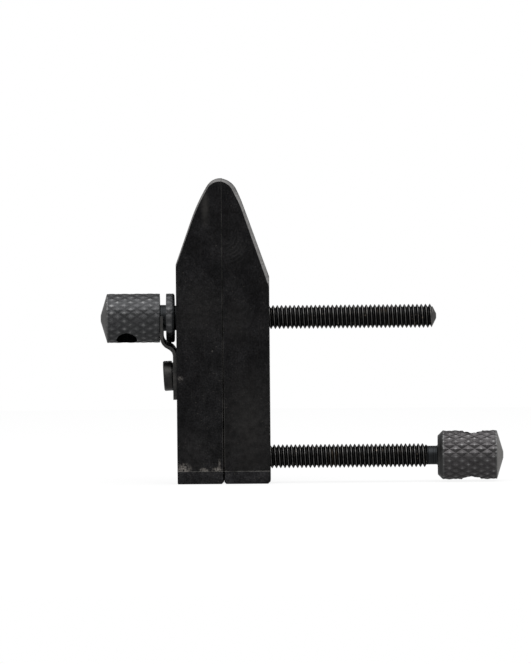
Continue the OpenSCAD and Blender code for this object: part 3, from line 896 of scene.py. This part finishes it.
def inset_edge(edge, bevels):
    """That edge set in by the bevel, starting where the bevel runs out down the outer face."""
    steps = np.diff(edge, axis=0)
    # The last step runs level to the seam, even where the tip's round has already reached it
    steps[-1] = (-1, 0)
    normals = np.stack([steps[:, 1], -steps[:, 0]], axis=1) / np.linalg.norm(steps, axis=1)[:, None]
    before = normals[:-1]
    after = normals[1:]
    share = bevels[1:-1] / (1 + np.sum(before * after, axis=1))
    inner = edge[1:-1] - share[:, None] * (before + after)
    start = edge[0] - (0, bevels[0] / math.sin(NOSE_ANGLE))
    return np.array([start, *inner, edge[-1] - (0, bevels[-1])])


def seam_corner(y, z):
    """Two corners beside the seam, with the edge between grip face and side bevelled, more so at the heel."""
    share = max(0, 1 - z / RELIEF_HEIGHT)
    grip = GRIP_FACE + SEAM_RELIEF * share
    bevel = SEAM_BEVEL + (SEAM_HEEL_BEVEL - SEAM_BEVEL) * share
    return [(grip + bevel, y, z), (grip, y - bevel, z)]


def heel_side(z):
    """Distance of a jaw's side from its middle, drawn in by the heel's bevel."""
    return JAW_THICKNESS / 2 - HEEL_BEVEL_DEPTH * max(0, 1 - z / HEEL_BEVEL_HEIGHT)


def jaw_corners(nose):
    """Corners of a jaw's front half, from the seam outwards."""
    half = JAW_THICKNESS / 2
    edge = nose_edge(nose)
    bevels = nose_bevels(nose, edge)
    heel_break = nose["heel_break"]
    corners = [(x, half - bevel, z) for (x, z), bevel in zip(edge, bevels)]
    corners += [(x, half, z) for x, z in inset_edge(edge, bevels)[:-1]]
    corners += seam_corner(half, edge[-1, 1] - bevels[-1])
    for z in (RELIEF_HEIGHT, HEEL_BEVEL_HEIGHT, SEAM_HEEL_BREAK):
        corners += seam_corner(heel_side(z), z)
    corners += [(GRIP_FACE + SEAM_RELIEF + SEAM_HEEL_BREAK, heel_side(0), 0)]
    corners += [(JAW_WIDTH - heel_break, heel_side(0), 0), (JAW_WIDTH, heel_side(heel_break), heel_break)]
    corners += [(JAW_WIDTH, half, HEEL_BEVEL_HEIGHT)]
    return corners


def jaw_slot(face):
    """Material slot of a jaw's face."""
    normal = face.normal
    place = face.calc_center_median() / MM
    is_bevel = BEVEL_LEAN[0] < abs(normal.y) < BEVEL_LEAN[1]
    if is_bevel and abs(normal.x) > FACE_LEAN and abs(place.x - SEAM) < 2 * SEAM_HEEL_BEVEL:
        return SEAM_EDGE if place.z > RELIEF_HEIGHT else SEAM_GAP
    if is_bevel and place.z > STRIP_FROM:
        return STRIP
    if abs(normal.y) > FACE_LEAN and place.z < HEEL_BEVEL_HEIGHT:
        return HEEL
    return 0


def is_heel_line(edge):
    """Whether an edge of a jaw is the upper edge of its heel's bevel."""
    least = JAW_THICKNESS / 2 - 2 * SEAM_HEEL_BEVEL
    places = [v.co / MM for v in edge.verts]
    return all(abs(p.z - HEEL_BEVEL_HEIGHT) < HEIGHT_SLACK and abs(p.y) > least for p in places)


def is_seam_line(edge):
    """Whether an edge of a jaw is where its side meets the bevel along its grip face."""
    slots = [face.material_index for face in edge.link_faces]
    return 0 in slots and (SEAM_EDGE in slots or SEAM_GAP in slots)


def is_sharp(edge):
    """Whether an edge of a jaw is broken: every sharp one but those of the seam at the tip."""
    places = [v.co / MM for v in edge.verts]
    at_tip = all(abs(p.x - SEAM) < 2 * SEAM_BEVEL and p.z > STRIP_FROM for p in places)
    return edge.calc_face_angle(0) > SHARP_ANGLE and not at_tip


def jaw_blank(name, nose, side, materials):
    """Jaw without its holes: a convex skin with every sharp edge broken. Side is -1 for the plain jaw."""
    skin = bmesh.new()
    for x, y, z in jaw_corners(nose):
        for way in (-1, 1):
            skin.verts.new(Vector((SEAM + side * x, way * y, z)) * MM)
    bmesh.ops.convex_hull(skin, input=skin.verts)
    bmesh.ops.dissolve_limit(skin, angle_limit=FLAT_ANGLE, verts=skin.verts, edges=skin.edges)
    bmesh.ops.recalc_face_normals(skin, faces=skin.faces)
    for face in skin.faces:
        face.material_index = jaw_slot(face)
    bevel_edges(skin, [e for e in skin.edges if is_seam_line(e)], SEAM_LINE, EDGE)
    bevel_edges(skin, [e for e in skin.edges if is_heel_line(e)], HEEL_LINE, WORN)
    bevel_edges(skin, [e for e in skin.edges if is_sharp(e)], EDGE_BREAK, EDGE)
    mesh = bpy.data.meshes.new(name)
    skin.to_mesh(mesh)
    skin.free()
    for material in materials:
        mesh.materials.append(material)
    return add_object(name, mesh)


def plain_jaw():
    """Jaw that the centre screw turns in."""
    finishes = [plain_oxide, worn_edge, heel_line, plain_strip, painted_seam_shade, painted_seam_shade, heel_oxide]
    jaw = jaw_blank("plain_jaw_finish", PLAIN_NOSE, -1, finishes)
    radius = SHANK_RADIUS + RUNNING_CLEARANCE
    hole = bar("hole", [(OUTER_FACE - PAST, radius), (SEAM + PAST, radius)], CENTRE_HEIGHT)
    combine(jaw, hole, "DIFFERENCE")
    radius = NOSE_RADIUS + RUNNING_CLEARANCE
    bottom = SEAM - NOSE_LENGTH - SEAT_GAP
    point = bottom - (radius - NOSE_FLAT) / DRILL_SLOPE
    socket = bar("socket", [(point, NOSE_FLAT), (bottom, radius), (SEAM + PAST, radius)], END_HEIGHT)
    combine(jaw, socket, "DIFFERENCE")
    clip_screw_hole(jaw, SCREW_RADIUS + RUNNING_CLEARANCE, SCREW_LENGTH + SCREW_ROOM)
    return jaw


def tapped_jaw():
    """Jaw that both screws thread through."""
    finishes = [tapped_oxide, worn_edge, heel_line, tapped_strip, worn_seam, painted_seam_shade, heel_oxide]
    jaw = jaw_blank("tapped_jaw_finish", TAPPED_NOSE, 1, finishes)
    for height in (CENTRE_HEIGHT, END_HEIGHT):
        tap = threaded_rod(
            "tap", SEAM - PAST, SEAM + JAW_WIDTH + PAST, height,
            lambda x: CREST_RADIUS + PAST, THREAD_CLEARANCE,
        )
        combine(jaw, tap, "DIFFERENCE")
    return jaw


# Clip and its screw


def clip_screw_place():
    """Matrix that stands a bar along X at the clip screw's place, leaning as it does."""
    seat = OUTER_FACE - CLIP_THICKNESS - SCREW_HEAD_RADIUS * math.sin(SCREW_LEAN)
    return shift(seat, 0, SCREW_HEIGHT) @ Matrix.Rotation(-SCREW_LEAN, 4, "Y")


def clip_screw_hole(obj, radius, depth):
    """Cuts the clip screw's hole to a depth below its head."""
    hole = bar("hole", [(-PAST, radius), (depth, radius)], 0)
    hole.data.transform(clip_screw_place())
    combine(obj, hole, "DIFFERENCE")


def clip_face(offset, prong_offset):
    """One face of the clip's strip in X and Z, at a distance from its middle towards the jaw."""
    lower = (CLIP_BASE - CLIP_BEND_RADIUS, BEND_BOTTOM)
    upper = (PRONG_PLACE + CLIP_BEND_RADIUS, BEND_TOP)
    return [
        (CLIP_BASE + offset, SCREW_HEIGHT - CLIP_TAIL),
        *arc(lower, CLIP_BEND_RADIUS + offset, 0, CLIP_BEND_ANGLE, BEND_STEPS),
        *arc(upper, CLIP_BEND_RADIUS - prong_offset, math.pi + CLIP_BEND_ANGLE, math.pi, BEND_STEPS),
        (PRONG_PLACE + prong_offset, CENTRE_HEIGHT + PRONG_RISE),
    ]


def spring_clip():
    """Forked leaf that holds the centre screw's groove to the plain jaw, a little twisted on its screw."""
    half = CLIP_THICKNESS / 2
    outline = clip_face(half, PRONG_INNER) + clip_face(-half, -half)[::-1]
    clip = prism("spring_clip_finish", outline, CLIP_WIDTH)
    pivot = shift(0, -CLIP_WIDTH / 4, SCREW_HEIGHT)
    clip.data.transform(pivot @ Matrix.Rotation(CLIP_TWIST, 4, "X") @ pivot.inverted())
    fork = GROOVE_RADIUS + FORK_CLEARANCE
    slot = [(-fork, fork), *arc((0, fork - FORK_DEPTH), fork, math.pi, 2 * math.pi, FORK_STEPS), (fork, fork)]
    start = PRONG_PLACE - CLIP_THICKNESS
    cutter = prism("fork", slot, CLIP_BASE - start)
    place = shift((start + CLIP_BASE) / 2, 0, CENTRE_HEIGHT)
    cutter.data.transform(place @ Matrix.Rotation(math.pi / 2, 4, "Z"))
    combine(clip, cutter, "DIFFERENCE")
    clip_screw_hole(clip, SCREW_SEAT_RADIUS + RUNNING_CLEARANCE, SCREW_LENGTH)
    break_edges(clip, CLIP_EDGE, CLIP_SHARP_ANGLE)
    clip.data.materials.append(clip_steel)
    clip.data.materials.append(clip_painted_shade)
    # Faces that look at the jaw get the painted shade
    for face in clip.data.polygons:
        face.material_index = 1 if face.normal.x > INSIDE_LEAN else 0
    return clip


def clip_screw():
    """Slotted screw that fastens the clip."""
    top = -SCREW_HEAD_HEIGHT
    corner = (top + SCREW_HEAD_ROUND, SCREW_HEAD_RADIUS - SCREW_HEAD_ROUND)
    profile = [(top, SCREW_HEAD_FLAT)]
    profile += arc(corner, SCREW_HEAD_ROUND, math.pi, math.pi / 2, SCREW_HEAD_STEPS)
    profile += [(-SCREW_HEAD_BREAK, SCREW_HEAD_RADIUS), (0, SCREW_HEAD_RADIUS - SCREW_HEAD_BREAK)]
    profile += [(0, SCREW_SEAT_RADIUS), (SCREW_SEAT, SCREW_SEAT_RADIUS), (SCREW_SEAT, SCREW_RADIUS)]
    profile += [(SCREW_LENGTH - SCREW_END_BREAK, SCREW_RADIUS)]
    profile += [(SCREW_LENGTH, SCREW_RADIUS - SCREW_END_BREAK)]
    screw = bar("clip_screw_finish", profile, 0, SCREW_HEAD_SIDES)
    half = SLOT_WIDTH / 2
    bottom = top + SLOT_DEPTH
    slot = [(top - PAST, -half), (bottom, -half), (bottom, half), (top - PAST, half)]
    cutter = prism("slot", slot, 2 * (SCREW_HEAD_RADIUS + PAST))
    cutter.data.transform(Matrix.Rotation(math.pi / 2 + SLOT_ANGLE, 4, "X"))
    combine(screw, cutter, "DIFFERENCE")
    screw.data.transform(clip_screw_place())
    screw.data.materials.append(clip_screw_steel)
    return screw


# Studio


def seen_rays(tree):
    """1 for camera, glossy and transmission rays, which see the white background."""
    path = node(tree, "LightPath", {})
    seen = path.outputs["Is Camera Ray"]
    for other in ("Is Glossy Ray", "Is Transmission Ray"):
        seen = node(tree, "Math", {0: seen, 1: path.outputs[other]}, operation="MAXIMUM").outputs[0]
    return seen


def world_light():
    """Dim even light for the object, behind a white background."""
    world = bpy.data.worlds.new("studio")
    bpy.context.scene.world = world
    world.use_nodes = True
    tree = world.node_tree
    tree.nodes.clear()
    dim = node(tree, "Background", {"Color": grey(WORLD_LIGHT)})
    white = node(tree, "Background", {"Color": grey(1)})
    both = node(tree, "MixShader", {0: seen_rays(tree), 1: dim.outputs[0], 2: white.outputs[0]})
    node(tree, "OutputWorld", {"Surface": both.outputs[0]})


def floor():
    """Round pale floor under the heels. It is white where the light reaches it, and keeps the shadow."""
    angles = [2 * math.pi * side / FLOOR_SIDES for side in range(FLOOR_SIDES)]
    mesh = bpy.data.meshes.new("floor")
    rim = [(FLOOR_RADIUS * math.cos(a), FLOOR_RADIUS * math.sin(a), 0) for a in angles]
    mesh.from_pydata(rim, [], [range(FLOOR_SIDES)])
    disc = add_object("floor", mesh)
    material, tree = new_finish("floor")
    tree.nodes.clear()
    pale = node(tree, "BsdfDiffuse", {"Color": grey(FLOOR_LEVEL)})
    shadow = node(tree, "BsdfDiffuse", {"Color": grey(FLOOR_SHADOW)})
    glow = node(tree, "Emission", {"Color": grey(FLOOR_GLOW)})
    lit = node(tree, "AddShader", {0: shadow.outputs[0], 1: glow.outputs[0]})
    both = node(tree, "MixShader", {0: seen_rays(tree), 1: pale.outputs[0], 2: lit.outputs[0]})
    node(tree, "OutputMaterial", {"Surface": both.outputs[0]})
    mesh.materials.append(material)


def soft_light(name, place, size, power):
    """Square soft lamp aimed at the object, placed in metres."""
    data = bpy.data.lights.new(name, "AREA")
    data.size = size
    data.energy = power
    lamp = add_object(name, data)
    lamp.location = place
    aim = Vector(PICTURE_MIDDLE) * MM - Vector(place)
    lamp.rotation_euler = aim.to_track_quat("-Z", "Y").to_euler()
    lamp.visible_camera = False


def camera():
    """Long lens at the photograph's angle."""
    data = bpy.data.cameras.new("camera")
    view = add_object("camera", data)
    bpy.context.scene.camera = view
    back = Vector((
        math.sin(CAMERA_RIGHT) * math.cos(CAMERA_ABOVE),
        -math.cos(CAMERA_RIGHT) * math.cos(CAMERA_ABOVE),
        math.sin(CAMERA_ABOVE),
    ))
    view.location = (Vector(PICTURE_MIDDLE) + back * CAMERA_DISTANCE) * MM
    turn = (-back).to_track_quat("-Z", "Y").to_matrix().to_4x4() @ Matrix.Rotation(CAMERA_ROLL, 4, "Z")
    view.rotation_euler = turn.to_euler()
    half_height = PICTURE_HEIGHT / PIXELS_PER_MM / 2
    data.lens = data.sensor_width / 2 * CAMERA_DISTANCE / half_height
    data.clip_end = CAMERA_REACH


# Each piece: what makes it, the node it stands for, its body and its material slot
PIECES = [
    (plain_jaw, "plain_jaw", "plain_jaw_body", "jaw_steel"),
    (tapped_jaw, "tapped_jaw", "tapped_jaw_body", "jaw_steel"),
    (centre_screw, "centre_screw", "centre_screw_body", "screw_steel"),
    (end_screw, "end_screw", "end_screw_body", "screw_steel"),
    (spring_clip, "spring_clip", "plain_jaw_body", "clip_steel"),
    (clip_screw, "clip_screw", "plain_jaw_body", "clip_steel"),
]

for make, name, body, slot in PIECES:
    piece = make()
    shade_smooth(piece, SMOOTH_ANGLE)
    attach(piece, body)
    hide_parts(name)

world_light()
floor()
camera()
soft_light("top_light", LAMP_PLACE, LAMP_SIZE, LAMP_POWER)
bpy.context.scene.view_settings.view_transform = "Standard"
